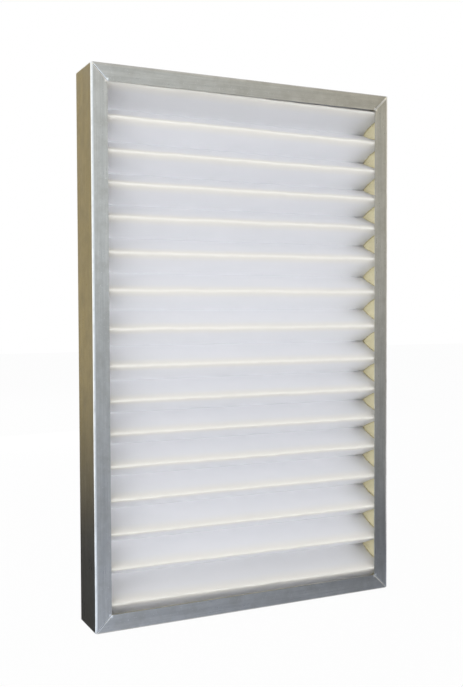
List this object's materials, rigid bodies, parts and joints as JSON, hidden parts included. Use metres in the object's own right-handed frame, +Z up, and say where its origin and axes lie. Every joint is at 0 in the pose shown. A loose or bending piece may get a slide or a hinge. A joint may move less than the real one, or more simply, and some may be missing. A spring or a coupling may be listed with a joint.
{
  "type": "pleated panel air filter",
  "caption": "Rectangular panel air filter: a folded sheet-metal channel frame round one sheet of white non-woven, pleated across the panel and sealed in with adhesive.",
  "frame": {"origin": "middle of the bottom web's outer face, on the surface that the filter stands on", "axes": "+Z up along the long sides, +X along the short sides to the right seen from the air-entering side, +Y through the depth towards the air-leaving side"},
  "size_m": [0.336, 0.048, 0.54],
  "materials": {
    "frame_steel": "galvanised sheet, satin",
    "rivet_aluminium": "plain",
    "mandrel_steel": "broken end, dull",
    "media": "stiff white non-woven",
    "adhesive": "cream hot-melt, dull"
  },
  "bodies": {
    "root": {"frame": "frame_steel", "corner_rivet": "rivet_aluminium", "rivet_mandrel": "mandrel_steel", "pleated_media": "media", "left_seal": "adhesive", "right_seal": "adhesive", "top_seal": "adhesive", "bottom_seal": "adhesive"}
  },
  "joints": []
}
